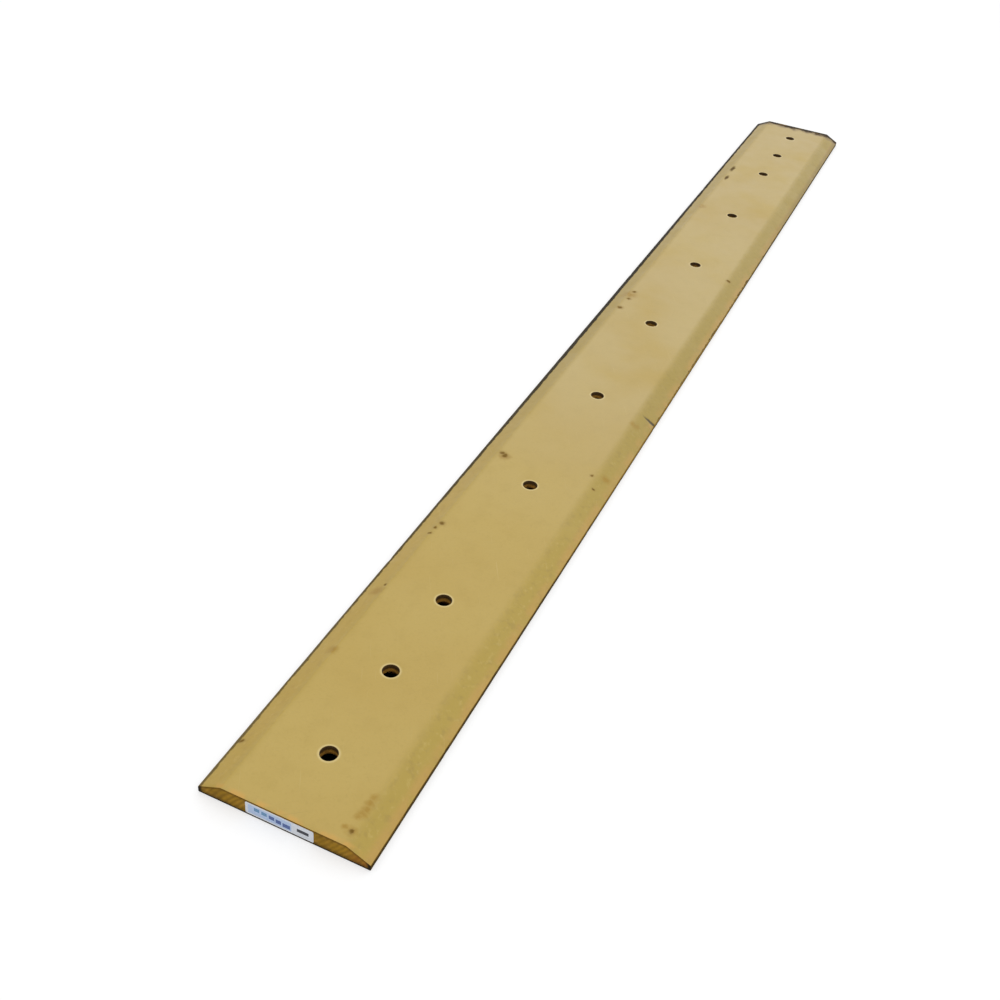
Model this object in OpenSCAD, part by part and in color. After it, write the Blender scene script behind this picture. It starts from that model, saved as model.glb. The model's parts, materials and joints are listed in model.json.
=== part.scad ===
// Bolt-on cutting edge for a loader bucket: a rolled double-bevel flat, drilled in one row.
// The bar lies on its wide wear face along X, with the bevels up. Millimetres.

/* [Rolled section] */
// Width across the wear face, nose to nose
bar_w = 228.6; // [150:0.1:330]
// Thickness from the wear face to the mounting face
bar_t = 25.4; // [19:0.1:40]
// Distance that each bevel runs in from the nose
bevel_run = 31.75; // [20:0.05:45]
// Height of the upright land at each nose
nose_h = 9.5; // [6:0.1:14]
// Rolled radius along each ridge, where bevel and mounting face meet
ridge_r = 6; // [1:0.1:12]
// Rolled radius along the top of each nose
nose_r = 2.5; // [0.5:0.1:4]
// Rolled radius along the bottom of each nose
heel_r = 1.5; // [0.5:0.1:2.5]

/* [Bolt holes] */
// Diameter of the holes, for 3/4 inch bolts
hole_d = 22.2; // [16:0.1:28]
// Spacing of the holes along the middle of the bar
hole_pitch = 304.8; // [150:0.1:400]
// Number of full spaces in the middle of the bar
middle_spaces = 6; // [2:1:10]
// Closer spacing of the holes near the ends
end_pitch = 152.4; // [100:0.1:250]
// Number of closer spaces at each end
end_spaces = 2; // [1:1:4]
// Distance from the last hole to the sawn end
end_margin = 101.6; // [60:0.1:200]
// Broken edge at the mouth of each hole in the mounting face
hole_break = 0.5; // [0.2:0.1:1.5]

/* [Bolt head seats] */
// Width of the square seat at the wear face
seat_w = 36.5; // [32:0.1:50]
// Depth of the seat, where its taper meets the round hole
seat_depth = 12; // [6:0.1:15]
// Diameter that rounds the corners of the seat at the wear face
seat_round_d = 46; // [40:0.1:60]

/* [End label] */
// Length of the adhesive label on the near end
label_w = 90; // [40:1:120]
// Thickness of the label
label_t = 0.3; // [0.1:0.05:1]
// Bare steel left above and below the label
label_border = 3; // [0.5:0.1:5]
// Distance of the label's middle from the middle of the bar
label_shift = 4; // [-40:1:40]

/* [Hidden] */
bar_l = middle_spaces * hole_pitch + 2 * end_spaces * end_pitch + 2 * end_margin;
middle_half = middle_spaces * hole_pitch / 2;
hole_row = concat(
    [for (i = [end_spaces : -1 : 1]) -middle_half - i * end_pitch],
    [for (i = [0 : middle_spaces]) -middle_half + i * hole_pitch],
    [for (i = [1 : end_spaces]) middle_half + i * end_pitch]
);
// Corners of the section, anticlockwise from the left heel, each with the radius that it is rolled to
section = [
    [-bar_w / 2, 0, heel_r],
    [bar_w / 2, 0, heel_r],
    [bar_w / 2, nose_h, nose_r],
    [bar_w / 2 - bevel_run, bar_t, ridge_r],
    [-bar_w / 2 + bevel_run, bar_t, ridge_r],
    [-bar_w / 2, nose_h, nose_r]
];
// Length by which a cutter runs past the face that it opens
cut_over = 2;
round_fn = 96;
// How far past the corner a rounding wedge reaches, as a multiple of its own length
wedge_over = 1.5;
// Hair by which a rolled radius runs out onto the flats beside it
run_out = 0.002;

function point(corner) = [corner[0], corner[1]];
function unit(v) = v / norm(v);

// What rounding takes off one corner: a wedge from the rolled radius's centre past the corner, less the radius
module corner_waste(before, corner, after, r) {
    to_before = unit(before - corner);
    to_after = unit(after - corner);
    half_angle = acos(to_before * to_after) / 2;
    reach = r / tan(half_angle);
    centre = corner + unit(to_before + to_after) * r / sin(half_angle);
    wedge = [corner + to_before * reach, corner, corner + to_after * reach];
    difference() {
        polygon(concat([centre], [for (p = wedge) centre + (p - centre) * wedge_over]));
        translate(centre) circle(r = r + run_out, $fn = round_fn);
    }
}

// Closed outline with each corner rounded by its own radius
module rounded_outline(corners) {
    count = len(corners);
    difference() {
        polygon([for (c = corners) point(c)]);
        for (i = [0 : count - 1])
            corner_waste(
                point(corners[(i + count - 1) % count]),
                point(corners[i]),
                point(corners[(i + 1) % count]),
                corners[i][2]
            );
    }
}

// Straight groove with tapered sides, as deep as the seat and as wide as the hole at its floor
module taper_groove() {
    rotate([90, 0, 0])
        linear_extrude(height = seat_round_d, center = true)
            polygon([
                [-seat_w / 2, -cut_over],
                [seat_w / 2, -cut_over],
                [seat_w / 2, 0],
                [hole_d / 2, seat_depth],
                [-hole_d / 2, seat_depth],
                [-seat_w / 2, 0]
            ]);
}

// Square tapered seat that keeps the bolt's head flush and stops it turning
module bolt_seat() {
    intersection() {
        taper_groove();
        rotate([0, 0, 90]) taper_groove();
        union() {
            cylinder(h = seat_depth, d1 = seat_round_d, d2 = seat_round_d - seat_w + hole_d, $fn = round_fn);
            translate([0, 0, -cut_over]) cylinder(h = cut_over, d = seat_round_d, $fn = round_fn);
        }
    }
}

// One bolt hole: the seat in the wear face, the drilled hole and its broken edge in the mounting face
module bolt_hole() {
    bolt_seat();
    cylinder(h = bar_t + cut_over, d = hole_d, $fn = round_fn);
    translate([0, 0, bar_t - hole_break])
        cylinder(h = hole_break + cut_over, d1 = hole_d, d2 = hole_d + 2 * (hole_break + cut_over), $fn = round_fn);
}

// The bar: one rolled length, sawn square at both ends and drilled
module cutting_edge() {
    color("#BEA65F")
        difference() {
            rotate([90, 0, 90]) linear_extrude(height = bar_l, center = true) rounded_outline(section);
            for (x = hole_row) translate([x, 0, 0]) bolt_hole();
        }
}

// Blank adhesive label on the near end face
module end_label() {
    color("#D9DFEA")
        translate([-bar_l / 2 - label_t, label_shift - label_w / 2, label_border])
            cube([label_t, label_w, bar_t - 2 * label_border]);
}

cutting_edge();
end_label();
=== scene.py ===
import json
import math

import bmesh
import bpy
from mathutils import Matrix, Quaternion, Vector, noise


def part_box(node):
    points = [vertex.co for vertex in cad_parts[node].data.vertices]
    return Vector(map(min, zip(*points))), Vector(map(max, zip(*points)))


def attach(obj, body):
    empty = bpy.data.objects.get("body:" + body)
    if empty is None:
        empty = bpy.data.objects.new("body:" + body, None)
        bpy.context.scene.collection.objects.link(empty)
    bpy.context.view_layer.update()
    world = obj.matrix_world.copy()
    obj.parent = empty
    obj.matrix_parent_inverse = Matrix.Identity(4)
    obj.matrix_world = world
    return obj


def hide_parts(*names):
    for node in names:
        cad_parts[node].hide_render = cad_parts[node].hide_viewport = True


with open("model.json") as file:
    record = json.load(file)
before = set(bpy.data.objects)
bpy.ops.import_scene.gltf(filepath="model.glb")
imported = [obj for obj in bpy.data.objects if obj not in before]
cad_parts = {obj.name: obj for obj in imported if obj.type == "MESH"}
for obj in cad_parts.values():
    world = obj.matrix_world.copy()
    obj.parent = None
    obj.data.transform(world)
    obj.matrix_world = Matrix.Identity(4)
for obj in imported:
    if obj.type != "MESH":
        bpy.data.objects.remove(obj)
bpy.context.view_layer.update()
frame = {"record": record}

# The bar: one length of hot-rolled double-bevel flat in carbon steel, sawn square at both ends.
# Its section is drawn as the rolls leave it, with softened ridges and noses, then run out along X.
# It is drawn in millimetres, and scaled to metres at the end.
MM = 0.001
_, bar_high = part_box("cutting_edge")
half_l = bar_high.x / MM
half_w = bar_high.y / MM
thick = bar_high.z / MM
bevel_run = 31.75
nose_h = 9.5
ridge_r = 6
nose_r = 2.5
heel_r = 1.5
ridge_y = half_w - bevel_run
ROUND_SEGMENTS = 4

# Corners of the section as y, z and rolled radius, anticlockwise from one heel
corners = [
    (-half_w, 0, heel_r),
    (half_w, 0, heel_r),
    (half_w, nose_h, nose_r),
    (ridge_y, thick, ridge_r),
    (-ridge_y, thick, ridge_r),
    (-half_w, nose_h, nose_r),
]
bar = bmesh.new()
drawn = [bar.verts.new((-half_l, y, z)) for y, z, _ in corners]
bar.faces.new(drawn)
for i, vert in enumerate(drawn):
    here = Vector(corners[i][:2])
    before = Vector(corners[i - 1][:2]) - here
    after = Vector(corners[(i + 1) % len(corners)][:2]) - here
    tangent = corners[i][2] / math.tan(before.angle(after) / 2)
    bmesh.ops.bevel(
        bar,
        geom=[vert],
        offset=tangent,
        affect="VERTICES",
        segments=ROUND_SEGMENTS,
        profile=0.5,
        material=-1,
    )

# Columns across the section and rows up it: close columns over the bolt holes, wider ones out to the noses
WINDOW = 24
WINDOW_STEP = 4
ON_PLANE = 1e-4
hole_columns = [WINDOW_STEP * i for i in range(-WINDOW // WINDOW_STEP, WINDOW // WINDOW_STEP + 1)]
side_columns = [32, 42, 54, 66, 75, 88, 94, 100, 106, 110]
rows = [3, 6, 10, 14, 18, 22]
cuts = [((0, y, 0), (0, 1, 0)) for y in hole_columns + side_columns + [-y for y in side_columns]]
cuts += [((0, 0, z), (0, 0, 1)) for z in rows]
for point, normal in cuts:
    everything = bar.verts[:] + bar.edges[:] + bar.faces[:]
    bmesh.ops.bisect_plane(bar, geom=everything, dist=ON_PLANE, plane_co=point, plane_no=normal)

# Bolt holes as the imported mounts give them: pairs on either side of the middle one
hole_row = [0.0]
for mount in frame["record"]["mounts"]:
    if mount["kind"] == "bolt_pattern":
        hole_row += [sign * mount["dims"]["spacing_x_mm"] / 2 for sign in (-1, 1)]
        hole_r = mount["dims"]["hole_r_mm"]
hole_row.sort()

# Nicks that handling has left in the noses: place along the bar, side, half-width and depth
nicks = [
    (-317, -1, 5, 2.2),
    (-1134, -1, 4, 1.0),
    (-640, -1, 6, 0.6),
    (118, -1, 7, 0.7),
    (1010, -1, 8, 0.8),
    (-860, 1, 6, 0.6),
    (210, 1, 6, 0.6),
    (760, 1, 8, 0.8),
]

# Stations along the bar: even steps, closer ones over each hole and each nick
LONG_STEP = 6.5
NICK_STEPS = (-2, -1.3, -0.7, -0.3, 0, 0.3, 0.7, 1.3, 2)
fixed_stations = {-half_l, half_l}
for x in hole_row:
    fixed_stations.update(x + y for y in hole_columns)
for x, _, half, _ in nicks:
    fixed_stations.update(x + half * step for step in NICK_STEPS)
stations = [-half_l]
for x in sorted(fixed_stations)[1:]:
    start = stations[-1]
    steps = max(1, math.ceil((x - start) / LONG_STEP))
    stations += [start + (x - start) * (i + 1) / steps for i in range(steps)]

# The section's face closes one end, its copy the other, and its outline is run out between them
ENAMEL, WEAR_FACE, NOSE, SAWN_END, HOLE_WALL = range(5)
WELD = 0.01
near_cap = bar.faces[:]
for face in near_cap:
    face.material_index = SAWN_END
copied = bmesh.ops.duplicate(bar, geom=near_cap)["geom"]
far_verts = [g for g in copied if isinstance(g, bmesh.types.BMVert)]
bmesh.ops.translate(bar, verts=far_verts, vec=(2 * half_l, 0, 0))
edges = [e for e in bar.edges if e.is_boundary and e.verts[0].co.x < 0]
for x in stations[1:]:
    made = bmesh.ops.extrude_edge_only(bar, edges=edges)["geom"]
    moved = {g for g in made if isinstance(g, bmesh.types.BMVert)}
    for v in moved:
        v.co.x = x
    edges = [g for g in made if isinstance(g, bmesh.types.BMEdge) and moved.issuperset(g.verts)]

# Faces take their finish by where they lie and how upright they stand
WEAR_TOP = 0.1
UPRIGHT = 0.7
for face in bar.faces:
    face.normal_update()
    if abs(face.normal.x) < UPRIGHT:
        middle = face.calc_center_median()
        if middle.z < WEAR_TOP:
            face.material_index = WEAR_FACE
        elif abs(face.normal.y) > UPRIGHT and middle.z < nose_h:
            face.material_index = NOSE
        else:
            face.material_index = ENAMEL
bmesh.ops.remove_doubles(bar, verts=[v for v in bar.verts if v.co.x > half_l - WELD], dist=WELD)

# Each bolt hole is drilled down from the mounting face, and opens into a square tapered seat for the
# bolt's head in the wear face. Its rings go down from the rim: size, height and squareness.
SEAT_HALF = 18.25
SEAT_DEPTH = 12
RIM = 0.6
LEVEL = 0.9
ROUND, SQUARE, SOFT_SQUARE = 2, 12, 6
HOLE_SEGMENTS = 4 * (len(hole_columns) - 1)
hole_rings = [
    (hole_r + RIM * 0.45, thick - RIM * 0.08, ROUND),
    (hole_r + RIM * 0.12, thick - RIM * 0.4, ROUND),
    (hole_r, thick - RIM, ROUND),
    (hole_r, thick - 5, ROUND),
    (hole_r, SEAT_DEPTH + 4, ROUND),
    (hole_r, SEAT_DEPTH, ROUND),
    (hole_r + 0.3, SEAT_DEPTH - 0.1, SQUARE),
    (SEAT_HALF - 0.35, 0.6, SOFT_SQUARE),
    (SEAT_HALF - 0.1, 0.15, SOFT_SQUARE),
    (SEAT_HALF + 0.2, 0, SOFT_SQUARE),
]
windows = {}
for face in bar.faces:
    middle = face.calc_center_median()
    nearest_hole = min(hole_row, key=lambda x: abs(x - middle.x))
    if abs(middle.x - nearest_hole) < WINDOW and abs(middle.y) < WINDOW and abs(face.normal.z) > LEVEL:
        windows.setdefault((nearest_hole, middle.z > thick / 2), []).append(face)
borders = {}
for place, faces in windows.items():
    inside = set(faces)
    window_edges = dict.fromkeys(e for f in faces for e in f.edges)
    borders[place] = [e for e in window_edges if len(inside.intersection(e.link_faces)) == 1]
bmesh.ops.delete(bar, geom=[f for faces in windows.values() for f in faces], context="FACES")
for x in hole_row:
    middle = Matrix.Translation((x, 0, thick))
    ring = bmesh.ops.create_circle(bar, radius=hole_r + RIM, segments=HOLE_SEGMENTS, matrix=middle)["verts"]
    edges = list(dict.fromkeys(e for v in ring for e in v.link_edges))
    bmesh.ops.bridge_loops(bar, edges=borders[(x, True)] + edges)
    for size, z, squareness in hole_rings:
        made = bmesh.ops.extrude_edge_only(bar, edges=edges)["geom"]
        moved = {g for g in made if isinstance(g, bmesh.types.BMVert)}
        for v in moved:
            way = (v.co.xy - Vector((x, 0))).normalized()
            reach = size / (abs(way.x) ** squareness + abs(way.y) ** squareness) ** (1 / squareness)
            v.co = (x + way.x * reach, way.y * reach, z)
        edges = [g for g in made if isinstance(g, bmesh.types.BMEdge) and moved.issuperset(g.verts)]
        for face in {f for e in edges for f in e.link_faces}:
            face.material_index = HOLE_WALL
    for face in bmesh.ops.bridge_loops(bar, edges=borders[(x, False)] + edges)["faces"]:
        face.material_index = WEAR_FACE
bmesh.ops.recalc_face_normals(bar, faces=bar.faces[:])

# The saw's arris is broken with a file, all the way round both ends
ARRIS = 0.8
arris = [e for e in bar.edges if sum(f.material_index == SAWN_END for f in e.link_faces) == 1]
bmesh.ops.bevel(
    bar, geom=arris, offset=ARRIS, affect="EDGES", segments=2, profile=0.5, material=-1, clamp_overlap=True
)


def ramp(value, start, end):
    """Share of the way from start to end, held at 0 before it and at 1 past it."""
    return min(1, max(0, (value - start) / (end - start)))


# Rolling leaves the bar a hair wavy, and handling wears its noses: both only ever take metal away.
# Each noise is read at a level of its own, so that no two run alike.
ROLL_WAVE = 0.35
WAVE_L, WAVE_W, WAVE_LEVEL = 140, 70, 3.1
NOSE_WEAR = 0.3
WORN_BAND = 5
COARSE_WEAR, COARSE_LEVEL = 30, 7.3
FINE_WEAR, FINE_LEVEL, FINE_SHARE = 9, 1.7, 0.6
# A nick fades out along the bar, up the bevel and down to the heel, and pulls the nose in by half its depth
NICK_REACH = 2.2
NICK_TOP, NICK_FULL, NICK_FOOT = 18, 2, 3
NICK_PULL = 0.5
for v in bar.verts:
    x, y, z = v.co
    side = 1 if y > 0 else -1
    wave = 0.5 + 0.5 * noise.noise((x / WAVE_L, y / WAVE_W, WAVE_LEVEL))
    v.co.z -= ROLL_WAVE * ramp(z, heel_r, thick) * wave
    at_nose = ramp(abs(y), half_w - WORN_BAND, half_w) * ramp(z, 0, heel_r)
    ragged = abs(noise.noise((x / COARSE_WEAR, side, COARSE_LEVEL)))
    ragged += FINE_SHARE * abs(noise.noise((x / FINE_WEAR, side, FINE_LEVEL)))
    v.co.y -= side * at_nose * NOSE_WEAR * ragged
    for nick_x, nick_side, half, depth in nicks:
        if nick_side == side and abs(x - nick_x) < NICK_REACH * half:
            hollow = depth * math.exp(-(((x - nick_x) / half) ** 2))
            v.co.z -= hollow * ramp(abs(y), half_w - NICK_TOP, half_w - NICK_FULL) * ramp(z, 0, NICK_FOOT)
            v.co.y -= side * NICK_PULL * hollow * at_nose

SHARP_ANGLE = 32
bmesh.ops.scale(bar, vec=(MM, MM, MM), verts=bar.verts[:])
bar_mesh = bpy.data.meshes.new("double_bevel_bar")
bar.to_mesh(bar_mesh)
bar.free()
bar_mesh.shade_smooth()
bar_mesh.set_sharp_from_angle(angle=math.radians(SHARP_ANGLE))
bar_piece = bpy.data.objects.new("double_bevel_bar", bar_mesh)
bpy.context.scene.collection.objects.link(bar_piece)


def linear(hex_colour):
    """An sRGB hex colour as the linear one that a socket takes."""
    parts = [int(hex_colour[i : i + 2], 16) / 255 for i in (1, 3, 5)]
    return [c / 12.92 if c <= 0.04045 else ((c + 0.055) / 1.055) ** 2.4 for c in parts] + [1.0]


def add(tree, kind, inputs=None, **settings):
    """Add a node. An input is linked from a socket, or from a node's own output, and is otherwise set."""
    node = tree.nodes.new(kind)
    for name, value in settings.items():
        setattr(node, name, value)
    for socket, value in (inputs or {}).items():
        if isinstance(value, bpy.types.Node):
            value = next(s for s in value.outputs if s.enabled)
        if isinstance(value, bpy.types.NodeSocket):
            tree.links.new(value, node.inputs[socket])
        else:
            node.inputs[socket].default_value = value
    return node


def new_finish(name):
    """A bare material, its node tree, and the place on the part in millimetres."""
    made = bpy.data.materials.new(name)
    made.use_nodes = True
    tree = made.node_tree
    tree.nodes.clear()
    place = add(tree, "ShaderNodeTexCoord").outputs["Object"]
    mm = add(tree, "ShaderNodeVectorMath", {0: place, "Scale": 1 / MM}, operation="SCALE")
    return made, tree, mm


def lay_coats(tree, mm, ground, coats):
    """Colours over a ground. Each coat has its colour, the most that it covers, its grain and its mask. A
    grain is its size in mm, and the levels of its noise where the coat starts and where it is full."""
    colour = linear(ground)
    for hue, most, grain, mask in coats:
        cover = most
        if grain:
            size, low, high = grain
            cloud = add(tree, "ShaderNodeTexNoise", {"Vector": mm, "Scale": 1 / size, "Detail": 3})
            cover = add(
                tree,
                "ShaderNodeMapRange",
                {"Value": cloud, "From Min": low, "From Max": high, "To Max": most},
                interpolation_type="SMOOTHSTEP",
            )
        if mask:
            cover = add(tree, "ShaderNodeMath", {0: cover, 1: mask}, operation="MULTIPLY")
        colour = add(tree, "ShaderNodeMix", {0: cover, 6: colour, 7: linear(hue)}, data_type="RGBA")
    return colour


def gap_to_marks(tree, place, marks):
    """Distance to the closest of several marks, as a share of each one's own radius."""
    closest = None
    for x, y, radius in marks:
        gap = add(tree, "ShaderNodeVectorMath", {0: place, 1: (x, y, 0)}, operation="DISTANCE")
        share = add(tree, "ShaderNodeMath", {0: gap, 1: radius}, operation="DIVIDE")
        if closest:
            share = add(tree, "ShaderNodeMath", {0: closest, 1: share}, operation="MINIMUM")
        closest = share
    return closest


# Chips through the enamel to rusty steel, mostly along the ridges: x, y and radius
chips = [
    (-558, 67, 6),
    (-553, 74, 5),
    (-765, 78, 4.8),
    (-779, 81, 3.4),
    (-794, 84, 2.8),
    (-925, 86, 2.6),
    (-1245, 106, 3.5),
    (-1302, -78, 3.2),
    (28, 76, 6),
    (73, 73, 5),
    (108, 73, 5),
    (-535, -77, 3.2),
    (-563, -90, 2.6),
    (271, -84, 5),
]
# Scrapes along the left ridge at the far end: middle x, y and half-width
scrapes = [
    (832, 75, 4),
    (900, 77, 5),
]
# Rust stains that have bled out from under the enamel, soft at the edge: x, y and radius
stains = [
    (-1301, -78, 7),
    (-1300, -69, 4),
    (-1281, -75, 5.5),
    (-1275, -77, 6.5),
    (-1268, -78, 6),
    (-1259, -78, 5.5),
    (-1250, -79, 6),
    (-1069, 84, 8),
    (-940, 92, 10),
    (-560, 66, 9),
    (-524, -98, 8),
    (-354, -88, 9),
    (90, 78, 16),
    (619, 80, 12),
]

# Ochre spray enamel over hot-rolled scale: satin and faintly hammered, thinner and speckled on the bevels,
# and near black along the foot of the left one as painted shade. Dust and a painted sheen pale it away from
# the near end, and handling chips it. Painted shade also darkens the bevels in part, the far end and the
# far right toe, and painted highlight lightens the near arris and the far holes' rims.
enamel, tree, mm = new_finish("ochre_spray_enamel")
along, sideways, _ = add(tree, "ShaderNodeSeparateXYZ", {0: mm}).outputs
across = add(tree, "ShaderNodeMath", {0: sideways}, operation="ABSOLUTE")
plan = add(tree, "ShaderNodeVectorMath", {0: mm, 1: (1, 1, 0)}, operation="MULTIPLY")
quarter = add(tree, "ShaderNodeVectorMath", {0: plan}, operation="ABSOLUTE")
# Marks are circles whose edges wobble by a few millimetres
WOBBLE_SIZE = 8
CHIP_WOBBLE = (7, 7, 0)
STAIN_WOBBLE = (9, 9, 0)
NOISE_MIDDLE = (0.5, 0.5, 0.5)
wobble = add(tree, "ShaderNodeTexNoise", {"Vector": mm, "Scale": 1 / WOBBLE_SIZE, "Detail": 3})
shift = add(
    tree,
    "ShaderNodeVectorMath",
    {0: wobble.outputs["Color"], 1: NOISE_MIDDLE},
    operation="SUBTRACT",
)
chipped = add(tree, "ShaderNodeVectorMath", {0: shift, 1: CHIP_WOBBLE, 2: plan}, operation="MULTIPLY_ADD")
smeared = add(tree, "ShaderNodeVectorMath", {0: shift, 1: STAIN_WOBBLE, 2: plan}, operation="MULTIPLY_ADD")
chip_gap = gap_to_marks(tree, chipped, chips)
stain_gap = gap_to_marks(tree, smeared, stains)
# Rims of painted highlight are drawn round the far holes only
rim_gap = gap_to_marks(tree, quarter, [(x, 0, hole_r) for x in hole_row if x >= 0])
# Scrapes are circles drawn out along x, and the deepest nick shows as one drawn out in y, across the bevel
DRAWN_OUT = 0.25
squeezed = add(tree, "ShaderNodeVectorMath", {0: chipped, 1: (DRAWN_OUT, 1, 0)}, operation="MULTIPLY")
scrape_gap = gap_to_marks(tree, squeezed, [(DRAWN_OUT * x, y, radius) for x, y, radius in scrapes])
GOUGE_IN = 6.3
GOUGE_SHARE = 0.8
gouge_x, gouge_side, gouge_half, _ = nicks[0]
gouge_y = gouge_side * (half_w - GOUGE_IN)
squeezed = add(tree, "ShaderNodeVectorMath", {0: chipped, 1: (1, DRAWN_OUT, 0)}, operation="MULTIPLY")
gouge_gap = gap_to_marks(tree, squeezed, [(gouge_x, DRAWN_OUT * gouge_y, GOUGE_SHARE * gouge_half)])
# The far end is painted dark to a ragged line, some 20 mm in: painted shade along the far end
RIPPLE_SIZE = 18
BURN_RIPPLE = 36.0
ripple = add(tree, "ShaderNodeTexNoise", {"Vector": mm, "Scale": 1 / RIPPLE_SIZE, "Detail": 3})
ragged_along = add(tree, "ShaderNodeMath", {0: ripple, 1: BURN_RIPPLE, 2: along}, operation="MULTIPLY_ADD")
# The near-black edge at the foot of the left bevel is painted shade along that edge. It widens towards the
# middle of the bar, narrows a little beyond it, and frays. These shift it by millimetres: the one for the
# sides takes it off the right bevel.
FRAY_SIZE = 5
widens = add(
    tree,
    "ShaderNodeMapRange",
    {"Value": along, "From Min": -900.0, "From Max": -100.0, "To Min": -6.0, "To Max": -1.25},
)
narrows = add(
    tree,
    "ShaderNodeMapRange",
    {"Value": along, "From Min": 300.0, "From Max": 900.0, "To Max": -2.0},
)
side = add(tree, "ShaderNodeMath", {0: sideways}, operation="SIGN")
fray = add(
    tree,
    "ShaderNodeTexNoise",
    {"Vector": mm, "Scale": 1 / FRAY_SIZE, "Detail": 4, "Roughness": 0.65},
)
ragged_across = across
for measure, amount in [(widens, 1.0), (narrows, 1.0), (side, 4.5), (ripple, 5.0), (fray, 4.0)]:
    ragged_across = add(
        tree, "ShaderNodeMath", {0: measure, 1: amount, 2: ragged_across}, operation="MULTIPLY_ADD"
    )
# Where each coat lies: what is measured, where it starts and where it is full
where = {}
for name, measure, start, end in [
    ("bevel", across, ridge_y - 9, ridge_y + 10),
    ("left_bevel", sideways, ridge_y - 5, ridge_y + 10),
    ("toe", sideways, 14.3 - half_w, 4.3 - half_w),
    ("toe_tip", sideways, 12.3 - half_w, 3.3 - half_w),
    ("far_third", along, 300, 900),
    ("ridge", across, ridge_y - 6, ridge_y + 1),
    ("below_ridge", across, ridge_y + 11, ridge_y + 3),
    ("away_from_near_end", along, -800, -200),
    ("near_arris_highlight", along, 9 - half_l, 2 - half_l),
    ("far_end_shade", ragged_along, half_l - 18, half_l + 6),
    ("far_edge", ragged_along, half_l - 4, half_l + 8),
    ("rim", rim_gap, 1.4, 1.1),
    ("stain", stain_gap, 1.5, 0.1),
    ("chip_halo", chip_gap, 2.0, 0.6),
    ("chip", chip_gap, 1.15, 0.35),
    ("scrape", scrape_gap, 1.4, 0.3),
    ("gouge", gouge_gap, 1.3, 0.5),
    ("foot", ragged_across, half_w - 3.3, half_w - 1.3),
    ("foot_darkens", along, -4000, 200),
]:
    where[name] = add(
        tree,
        "ShaderNodeMapRange",
        {"Value": measure, "From Min": start, "From Max": end},
        interpolation_type="SMOOTHSTEP",
    )
crest = add(tree, "ShaderNodeMath", {0: where["ridge"], 1: where["below_ridge"]}, operation="MULTIPLY")
left_foot_shade = add(tree, "ShaderNodeMath", {0: where["foot"], 1: where["foot_darkens"]}, operation="MULTIPLY")
far_bevel_shade = add(tree, "ShaderNodeMath", {0: where["bevel"], 1: where["away_from_near_end"]}, operation="MULTIPLY")
far_toe_shade = add(tree, "ShaderNodeMath", {0: where["toe_tip"], 1: where["far_third"]}, operation="MULTIPLY")
# Scratches from handling in two directions, drawn 1.5 mm wide so that they show
SCRATCH = (70, 1.5, 20)
scratches = []
for turn in (0.5, -0.9):
    streak = add(
        tree,
        "ShaderNodeMapping",
        {"Vector": mm, "Rotation": (0, 0, turn), "Scale": SCRATCH},
        vector_type="TEXTURE",
    )
    lines = add(tree, "ShaderNodeTexNoise", {"Vector": streak, "Scale": 1, "Detail": 1})
    scratches.append(
        add(
            tree,
            "ShaderNodeMapRange",
            {"Value": lines, "From Min": 0.73, "From Max": 0.8},
            interpolation_type="SMOOTHSTEP",
        )
    )
colour = lay_coats(
    tree,
    mm,
    "#B89C4B",
    [
        ("#BEA557", 0.5, (260, 0.35, 0.65), None),
        ("#AC9140", 0.22, (26, 0.45, 0.75), None),
        ("#A58B3E", 0.18, (4, 0.5, 0.75), None),
        # Dust and painted sheen: a pale coat that grows away from the near end
        ("#CAC0A6", 0.2, (140, 0.2, 0.6), where["away_from_near_end"]),
        # The bevels' darker tone is partly thinner paint and partly painted shade
        ("#AA9133", 0.75, (90, 0.0, 0.5), where["bevel"]),
        ("#93793A", 0.32, (10, 0.5, 0.7), where["bevel"]),
        ("#CBB468", 0.3, (8, 0.55, 0.75), where["bevel"]),
        ("#BC9630", 0.4, None, where["left_bevel"]),
        # Painted shade: the bevels darker away from the near end
        ("#9A8430", 0.48, None, far_bevel_shade),
        ("#C0944A", 0.5, (34, 0.3, 0.6), where["toe"]),
        # Painted shade: the foot of the right bevel darker in the far third
        ("#86701C", 0.7, None, far_toe_shade),
        ("#A08840", 0.25, (18, 0.4, 0.75), crest),
        ("#D6C68E", 0.2, None, scratches[0]),
        ("#94793A", 0.2, None, scratches[1]),
        # Painted highlight: a pale orange band along the near arris of the flat
        ("#D6A048", 0.6, (24, 0.4, 0.62), where["near_arris_highlight"]),
        # Painted highlight: pale rims round the far holes
        ("#E2CF93", 0.52, None, where["rim"]),
        ("#9E7800", 0.8, (14, 0.2, 0.55), where["stain"]),
        ("#98782C", 0.5, None, where["chip_halo"]),
        ("#624400", 0.75, None, where["chip"]),
        ("#4A3000", 0.9, None, where["scrape"]),
        # Painted shade: dark ragged bands along the far end, the outer one near black
        ("#5E400A", 0.85, None, where["far_end_shade"]),
        ("#241804", 0.95, (26, 0.25, 0.5), where["far_edge"]),
        ("#3C3000", 0.92, None, where["gouge"]),
        # Painted shade: near black along the foot of the left bevel, deepening towards the far end
        ("#1A1306", 0.97, None, left_foot_shade),
    ],
)
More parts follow.
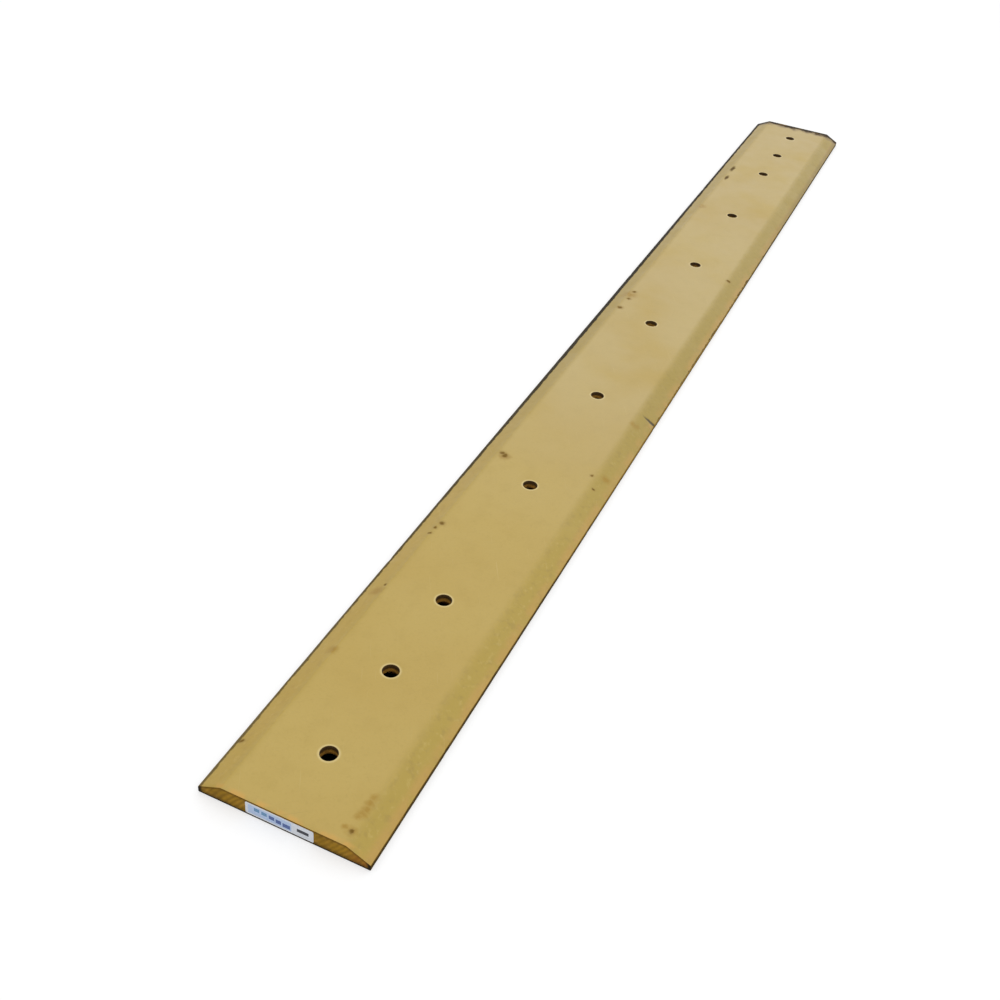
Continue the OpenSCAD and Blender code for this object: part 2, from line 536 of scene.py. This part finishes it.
# The satin is uneven over some 40 mm, and the chips, the scrapes and the bands of painted shade at the left
# foot and far end are matt
GLOSS_SIZE = 40
SATIN = 0.28
UNEVEN = 0.24
BARE_MATT = 0.55
matt_marks = left_foot_shade
for name in ("chip", "scrape", "far_edge"):
    matt_marks = add(tree, "ShaderNodeMath", {0: matt_marks, 1: where[name]}, operation="MAXIMUM")
gloss = add(tree, "ShaderNodeTexNoise", {"Vector": mm, "Scale": 1 / GLOSS_SIZE, "Detail": 3})
roughness = add(tree, "ShaderNodeMath", {0: gloss, 1: UNEVEN, 2: SATIN}, operation="MULTIPLY_ADD")
roughness = add(tree, "ShaderNodeMath", {0: matt_marks, 1: BARE_MATT, 2: roughness}, operation="MULTIPLY_ADD")
# Orange peel about 3.5 mm across on rolling marks about 20 by 50 mm, with the chips sunk through
PEEL_SIZE = 3.5
PEEL_SHARE = 0.4
CHIP_SHARE = -0.6
ROLL_MARK = (50, 20, 20)
rolled = add(tree, "ShaderNodeMapping", {"Vector": mm, "Scale": ROLL_MARK}, vector_type="TEXTURE")
rolling = add(tree, "ShaderNodeTexNoise", {"Vector": rolled, "Scale": 1, "Detail": 2})
peel = add(tree, "ShaderNodeTexNoise", {"Vector": mm, "Scale": 1 / PEEL_SIZE, "Detail": 2})
relief = add(tree, "ShaderNodeMath", {0: peel, 1: PEEL_SHARE, 2: rolling}, operation="MULTIPLY_ADD")
relief = add(tree, "ShaderNodeMath", {0: where["chip"], 1: CHIP_SHARE, 2: relief}, operation="MULTIPLY_ADD")
bump = add(tree, "ShaderNodeBump", {"Height": relief, "Strength": 0.7, "Distance": 0.5 * MM})
shader = add(
    tree,
    "ShaderNodeBsdfPrincipled",
    {"Base Color": colour, "Roughness": roughness, "Normal": bump, "IOR": 1.5},
)
add(tree, "ShaderNodeOutputMaterial", {"Surface": shader})

# Wear face: the same enamel, but a thin coat that shows the mill scale and was scuffed on the floor.
# It is patchy yellow and grey, with long pale scuffs down to the steel.
SCUFF = (60, 1, 1)
SCUFF_SIZE = 3
THIN_PATCH = (90, 30, 30)
wear_face, tree, mm = new_finish("scuffed_thin_enamel")
drawn_along = add(tree, "ShaderNodeMapping", {"Vector": mm, "Scale": SCUFF}, vector_type="TEXTURE")
scuffs = add(tree, "ShaderNodeTexNoise", {"Vector": drawn_along, "Scale": 1 / SCUFF_SIZE, "Detail": 2})
scuffed = add(
    tree,
    "ShaderNodeMapRange",
    {"Value": scuffs, "From Min": 0.6, "From Max": 0.7},
    interpolation_type="SMOOTHSTEP",
)
streaked = add(tree, "ShaderNodeMapping", {"Vector": mm, "Scale": THIN_PATCH}, vector_type="TEXTURE")
streaks = add(tree, "ShaderNodeTexNoise", {"Vector": streaked, "Scale": 1, "Detail": 5})
thin = add(
    tree,
    "ShaderNodeMapRange",
    {"Value": streaks, "From Min": 0.45, "From Max": 0.75},
    interpolation_type="SMOOTHSTEP",
)
colour = lay_coats(
    tree,
    mm,
    "#C0A24C",
    [
        ("#B0944A", 0.5, (120, 0.35, 0.7), None),
        ("#8E8468", 0.6, None, thin),
        ("#6A604C", 0.3, (10, 0.5, 0.8), None),
        ("#9A6A2C", 0.35, (6, 0.6, 0.75), None),
        ("#B4B0A6", 0.6, (45, 0.35, 0.6), scuffed),
    ],
)
bump = add(tree, "ShaderNodeBump", {"Height": scuffs, "Strength": 0.4, "Distance": 0.2 * MM})
shader = add(
    tree,
    "ShaderNodeBsdfPrincipled",
    {"Base Color": colour, "Normal": bump, "Roughness": 0.6, "IOR": 1.5},
)
add(tree, "ShaderNodeOutputMaterial", {"Surface": shader})

# Noses: rolled scale, dark olive brown and matt, the dark partly scale and partly painted shade at the foot
# of the upright lands, with golden spray only along the top. The spray hangs lower in the middle of the
# bar, and the left nose keeps only a fifth of it, so that it stays dark as painted shade.
SPRAY_MIDDLE = -150.0
SPRAY_RIPPLE = 4.0
LEFT_SPRAY_AND_SHADE = 0.2
nose_scale, tree, mm = new_finish("nose_scale_and_painted_shade")
along, sideways, height = add(tree, "ShaderNodeSeparateXYZ", {0: mm}).outputs
ripple = add(tree, "ShaderNodeTexNoise", {"Vector": mm, "Scale": 1 / RIPPLE_SIZE, "Detail": 3})
ragged_height = add(
    tree, "ShaderNodeMath", {0: ripple, 1: SPRAY_RIPPLE, 2: height}, operation="MULTIPLY_ADD"
)
from_middle = add(tree, "ShaderNodeMath", {0: along, 1: SPRAY_MIDDLE}, operation="SUBTRACT")
from_middle = add(tree, "ShaderNodeMath", {0: from_middle}, operation="ABSOLUTE")
hangs = add(
    tree,
    "ShaderNodeMapRange",
    {"Value": from_middle, "From Min": 650.0, "From Max": 250.0, "To Min": -1.5, "To Max": 3.5},
)
ragged_height = add(tree, "ShaderNodeMath", {0: ragged_height, 1: hangs}, operation="ADD")
sprayed = add(
    tree,
    "ShaderNodeMapRange",
    {"Value": ragged_height, "From Min": 7.0, "From Max": 11.0},
    interpolation_type="SMOOTHSTEP",
)
faced = add(
    tree,
    "ShaderNodeMapRange",
    {"Value": sideways, "From Min": 1.0, "From Max": -1.0, "To Min": LEFT_SPRAY_AND_SHADE},
)
sprayed = add(tree, "ShaderNodeMath", {0: sprayed, 1: faced}, operation="MULTIPLY")
colour = lay_coats(
    tree,
    mm,
    # A dark olive ground, partly painted shade at the foot of the lands, under golden spray along the top
    "#4A380C",
    [
        ("#6E5218", 0.6, (22, 0.45, 0.7), None),
        ("#2A200A", 0.6, (7, 0.45, 0.7), None),
        ("#A8822C", 0.7, None, sprayed),
    ],
)
shader = add(
    tree,
    "ShaderNodeBsdfPrincipled",
    {"Base Color": colour, "Roughness": 0.85, "Specular IOR Level": 0.1},
)
add(tree, "ShaderNodeOutputMaterial", {"Surface": shader})

# Sawn ends: steel with the saw's marks under dusty overspray, browner and duller than the flat. It is
# darker under the top arris, rusty towards the right nose, and painted shade darkens it towards its foot,
# to near black at the foot and at both noses.
sawn_end, tree, mm = new_finish("sawn_end_overspray")
_, sideways, height = add(tree, "ShaderNodeSeparateXYZ", {0: mm}).outputs
across = add(tree, "ShaderNodeMath", {0: sideways}, operation="ABSOLUTE")
past_ridge = add(tree, "ShaderNodeMath", {0: across, 1: ridge_y}, operation="SUBTRACT")
past_ridge = add(tree, "ShaderNodeMath", {0: past_ridge, 1: 0.0}, operation="MAXIMUM")
slope = (thick - nose_h) / bevel_run
up_to_roof = add(tree, "ShaderNodeMath", {0: past_ridge, 1: slope, 2: height}, operation="MULTIPLY_ADD")
where = {}
for name, measure, start, end in [
    ("roof", up_to_roof, thick - 5, thick - 1.5),
    ("foot", height, 9, 3),
    ("foot_contact_shade", height, 3.6, 1.6),
    ("nose", across, half_w - 7.3, half_w - 2.3),
    ("rusty", sideways, 4.55 - ridge_y, -15.45 - ridge_y),
]:
    where[name] = add(
        tree,
        "ShaderNodeMapRange",
        {"Value": measure, "From Min": start, "From Max": end},
        interpolation_type="SMOOTHSTEP",
    )
# Saw marks, about 6 mm apart at this scale of the wave: coarser than the real ones, so that they show
SAW_SCALE = 0.05
SAW_LEAN = -35
leaning = add(tree, "ShaderNodeMapping", {"Vector": mm, "Rotation": (math.radians(SAW_LEAN), 0, 0)})
kerf = add(
    tree,
    "ShaderNodeTexWave",
    {"Vector": leaning, "Scale": SAW_SCALE, "Distortion": 4.0, "Detail": 2.0, "Detail Scale": 0.8},
    bands_direction="Y",
)
colour = lay_coats(
    tree,
    mm,
    "#B88C2A",
    [
        ("#7C5C1A", 0.6, (30, 0.3, 0.7), None),
        ("#C09044", 0.5, (14, 0.4, 0.7), None),
        ("#503C12", 0.36, (40, 0.1, 0.5), kerf),
        ("#A4622A", 0.6, (16, 0.3, 0.6), where["rusty"]),
        ("#6A4E14", 0.7, None, where["roof"]),
        # Painted shade from here down: darker towards the foot, near black at the foot and at both noses
        ("#4A380C", 0.6, (14, 0.2, 0.6), where["foot"]),
        ("#120E06", 0.95, None, where["nose"]),
        ("#120E06", 0.95, None, where["foot_contact_shade"]),
    ],
)
bump = add(tree, "ShaderNodeBump", {"Height": kerf, "Strength": 0.5, "Distance": 0.3 * MM})
shader = add(
    tree,
    "ShaderNodeBsdfPrincipled",
    {"Base Color": colour, "Normal": bump, "Roughness": 0.8, "Specular IOR Level": 0.12},
)
add(tree, "ShaderNodeOutputMaterial", {"Surface": shader})

# Drilled walls and seats: steel painted near black a few mm under the mouth as painted shade in the hole,
# with golden overspray lower down. The seat itself is rusty brown.
hole_wall, tree, mm = new_finish("drilled_wall_overspray")
height = add(tree, "ShaderNodeSeparateXYZ", {0: mm}).outputs["Z"]
deep = add(
    tree,
    "ShaderNodeMapRange",
    {"Value": height, "From Min": SEAT_DEPTH + 3, "From Max": SEAT_DEPTH - 1},
    interpolation_type="SMOOTHSTEP",
)
mouth_shade = add(
    tree,
    "ShaderNodeMapRange",
    {"Value": height, "From Min": thick - 10, "From Max": thick - 5},
    interpolation_type="SMOOTHSTEP",
)
colour = lay_coats(
    tree,
    mm,
    "#D29C3C",
    [
        ("#8A5E20", 0.6, (6, 0.4, 0.7), None),
        # Painted shade: near black under the mouth of each hole
        ("#1C0E02", 0.9, None, mouth_shade),
        ("#6E4E24", 0.9, None, deep),
    ],
)
shader = add(tree, "ShaderNodeBsdfPrincipled", {"Base Color": colour, "Roughness": 0.65, "IOR": 1.5})
add(tree, "ShaderNodeOutputMaterial", {"Surface": shader})

for made in (enamel, wear_face, nose_scale, sawn_end, hole_wall):
    bar_mesh.materials.append(made)
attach(bar_piece, "root")
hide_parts("cutting_edge")

# The label: a strip of coated paper stuck on the near sawn end, printed with plain fields of ink. It lies a
# paper's thickness proud of the steel, and the saw marks under it leave it a little uneven.
label_low, label_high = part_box("end_label")
label_l = (label_high.y - label_low.y) / MM
label_h = (label_high.z - label_low.z) / MM
front = label_low.x / MM
back = label_high.x / MM
left = label_high.y / MM
foot = label_low.z / MM
LABEL_CORNER = 2
PAPER, PALE_INK, MID_INK, BLUE_INK, DARK_INK = range(5)
# Printed fields as shares of the label: ink, ends from the left along its length, then bottom and top
fields = [
    (PALE_INK, 0.04, 0.68, 0.12, 0.88),
    (MID_INK, 0.13, 0.21, 0.46, 0.76),
    (MID_INK, 0.24, 0.32, 0.42, 0.72),
    (BLUE_INK, 0.35, 0.43, 0.36, 0.68),
    (BLUE_INK, 0.45, 0.53, 0.28, 0.62),
    (BLUE_INK, 0.55, 0.66, 0.22, 0.56),
    (DARK_INK, 0.76, 0.93, 0.38, 0.66),
]
label = bmesh.new()
outline = [(0, 0), (label_l, 0), (label_l, label_h), (0, label_h)]
sheet = [label.verts.new((front, left - y, foot + z)) for y, z in outline]
label.faces.new(sheet)
bmesh.ops.bevel(
    label, geom=sheet, offset=LABEL_CORNER, affect="VERTICES", segments=4, profile=0.5, material=-1
)
for _, start, end, bottom, top in fields:
    cuts = [((0, left - share * label_l, 0), (0, 1, 0)) for share in (start, end)]
    cuts += [((0, 0, foot + share * label_h), (0, 0, 1)) for share in (bottom, top)]
    for point, normal in cuts:
        everything = label.verts[:] + label.edges[:] + label.faces[:]
        bmesh.ops.bisect_plane(label, geom=everything, dist=ON_PLANE, plane_co=point, plane_no=normal)
for face in label.faces:
    face.material_index = PAPER
    middle = face.calc_center_median()
    y_share = (left - middle.y) / label_l
    z_share = (middle.z - foot) / label_h
    for ink, start, end, bottom, top in fields:
        if start < y_share < end and bottom < z_share < top:
            face.material_index = ink
thickened = bmesh.ops.extrude_face_region(label, geom=label.faces[:])["geom"]
pushed = [g for g in thickened if isinstance(g, bmesh.types.BMVert)]
bmesh.ops.translate(label, verts=pushed, vec=(back - front, 0, 0))
bmesh.ops.recalc_face_normals(label, faces=label.faces[:])
PAPER_WAVE = 0.12
PAPER_WAVE_L, PAPER_WAVE_H, PAPER_LEVEL = 9, 7, 2.2
for v in label.verts:
    if v.co.x < (front + back) / 2:
        wave = noise.noise((v.co.y / PAPER_WAVE_L, v.co.z / PAPER_WAVE_H, PAPER_LEVEL))
        v.co.x += PAPER_WAVE * (0.5 + 0.5 * wave)
bmesh.ops.scale(label, vec=(MM, MM, MM), verts=label.verts[:])
label_mesh = bpy.data.meshes.new("paper_end_label")
label.to_mesh(label_mesh)
label.free()
label_piece = bpy.data.objects.new("paper_end_label", label_mesh)
bpy.context.scene.collection.objects.link(label_piece)
# Coated paper, a cool white, and its inks: a soft sheen with a few grey scuffs
for name, ground in (
    ("coated_paper", "#F2F7FF"),
    ("pale_print", "#C6DCFF"),
    ("mid_print", "#6C9CC8"),
    ("blue_print", "#4E68A8"),
    ("dark_print", "#14182A"),
):
    made, tree, mm = new_finish(name)
    colour = lay_coats(tree, mm, ground, [("#9AA2AE", 0.25, (6, 0.55, 0.8), None)])
    shader = add(tree, "ShaderNodeBsdfPrincipled", {"Base Color": colour, "Roughness": 0.5, "IOR": 1.5})
    add(tree, "ShaderNodeOutputMaterial", {"Surface": shader})
    label_mesh.materials.append(made)
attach(label_piece, "root")
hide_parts("end_label")

# The floor: a plain white studio floor that keeps the bar's shadow. Where the bar lies on it, no light gets
# under, so that patch is black from above, and it is clear from below to show the wear face.
FLOOR_HALF = 30
FLOOR_Z = 0.05 * MM
floor = bmesh.new()
lift = Matrix.Translation((0, 0, FLOOR_Z))
bmesh.ops.create_grid(floor, x_segments=1, y_segments=1, size=FLOOR_HALF, matrix=lift)
floor_mesh = bpy.data.meshes.new("studio_floor")
floor.to_mesh(floor_mesh)
floor.free()
floor_piece = bpy.data.objects.new("studio_floor", floor_mesh)
bpy.context.scene.collection.objects.link(floor_piece)
# Matt white with just enough glow, to the eye and in reflections, to come out as white as the tent
FLOOR_GLOW = 0.56
UNDER_MARGIN = 10
white, tree, mm = new_finish("white_floor")
quarter = add(tree, "ShaderNodeVectorMath", {0: mm}, operation="ABSOLUTE")
along, across, _ = add(tree, "ShaderNodeSeparateXYZ", {0: quarter}).outputs
under_length = add(tree, "ShaderNodeMath", {0: along, 1: half_l - UNDER_MARGIN}, operation="LESS_THAN")
under_width = add(tree, "ShaderNodeMath", {0: across, 1: half_w - UNDER_MARGIN}, operation="LESS_THAN")
under = add(tree, "ShaderNodeMath", {0: under_length, 1: under_width}, operation="MULTIPLY")
path = add(tree, "ShaderNodeLightPath").outputs
seen = path["Is Camera Ray"]
for ray in ("Is Glossy Ray", "Is Transmission Ray"):
    seen = add(tree, "ShaderNodeMath", {0: seen, 1: path[ray]}, operation="MAXIMUM")
glow = add(tree, "ShaderNodeMath", {0: seen, 1: FLOOR_GLOW}, operation="MULTIPLY")
lit = add(tree, "ShaderNodeEmission", {"Strength": glow})
matt = add(tree, "ShaderNodeBsdfDiffuse", {"Color": linear("#B8B8B8")})
open_floor = add(tree, "ShaderNodeAddShader", {0: matt, 1: lit})
from_below = add(tree, "ShaderNodeNewGeometry").outputs["Backfacing"]
see_through = add(tree, "ShaderNodeMath", {0: from_below, 1: path["Is Shadow Ray"]}, operation="MAXIMUM")
black = add(tree, "ShaderNodeBsdfDiffuse", {"Color": linear("#0C0A08")})
clear = add(tree, "ShaderNodeBsdfTransparent")
one_way = add(tree, "ShaderNodeMixShader", {0: see_through, 1: black, 2: clear})
shader = add(tree, "ShaderNodeMixShader", {0: under, 1: open_floor, 2: one_way})
add(tree, "ShaderNodeOutputMaterial", {"Surface": shader})
floor_mesh.materials.append(white)

# Studio light: a white tent all round, a little brighter beyond the far end and on the right, dimmer below
# the floor, and a broad softbox overhead. The camera sees the tent as plain white.
SKY = 0.85
SKY_TILT = (0.2, -0.15, 0)
BELOW = 0.5
world = bpy.data.worlds.new("studio_tent")
bpy.context.scene.world = world
world.use_nodes = True
tree = world.node_tree
tree.nodes.clear()
way = add(tree, "ShaderNodeTexCoord").outputs["Generated"]
up = add(tree, "ShaderNodeSeparateXYZ", {0: way}).outputs["Z"]
tilt = add(tree, "ShaderNodeVectorMath", {0: way, 1: SKY_TILT}, operation="DOT_PRODUCT")
tent = add(tree, "ShaderNodeMath", {0: tilt, 1: SKY}, operation="ADD")
dim = add(tree, "ShaderNodeMapRange", {"Value": up, "From Min": -0.1, "From Max": 0.0, "To Min": BELOW})
tent = add(tree, "ShaderNodeMath", {0: tent, 1: dim}, operation="MULTIPLY")
camera_ray = add(tree, "ShaderNodeLightPath").outputs["Is Camera Ray"]
strength = add(tree, "ShaderNodeMath", {0: tent, 1: camera_ray}, operation="MAXIMUM")
tent_light = add(tree, "ShaderNodeBackground", {"Color": linear("#FFFFFF"), "Strength": strength})
add(tree, "ShaderNodeOutputWorld", {"Surface": tent_light})
lamp = bpy.data.lights.new("overhead_softbox", "AREA")
lamp.shape = "RECTANGLE"
lamp.size = 8
lamp.size_y = 6
lamp.energy = 50
lamp_piece = bpy.data.objects.new("overhead_softbox", lamp)
lamp_piece.location = (0, 0, 4)
bpy.context.scene.collection.objects.link(lamp_piece)

# The camera: it stands off the near end, right of the bar and above it, and looks down along the bar.
# It is rolled a little, as the photograph is.
camera = bpy.data.cameras.new("camera")
camera.sensor_width = 36
camera.lens = 41.47
camera_piece = bpy.data.objects.new("camera", camera)
stand = Vector((-1.9882, -0.4637, 1.1166))
aim = Vector((-0.6693, 0.0255, 0.0254))
ROLL = 6.51
camera_piece.location = stand
camera_piece.rotation_mode = "QUATERNION"
level = (aim - stand).to_track_quat("-Z", "Y")
camera_piece.rotation_quaternion = level @ Quaternion((0, 0, 1), math.radians(ROLL))
bpy.context.scene.collection.objects.link(camera_piece)
bpy.context.scene.camera = camera_piece
bpy.context.scene.view_settings.view_transform = "Standard"
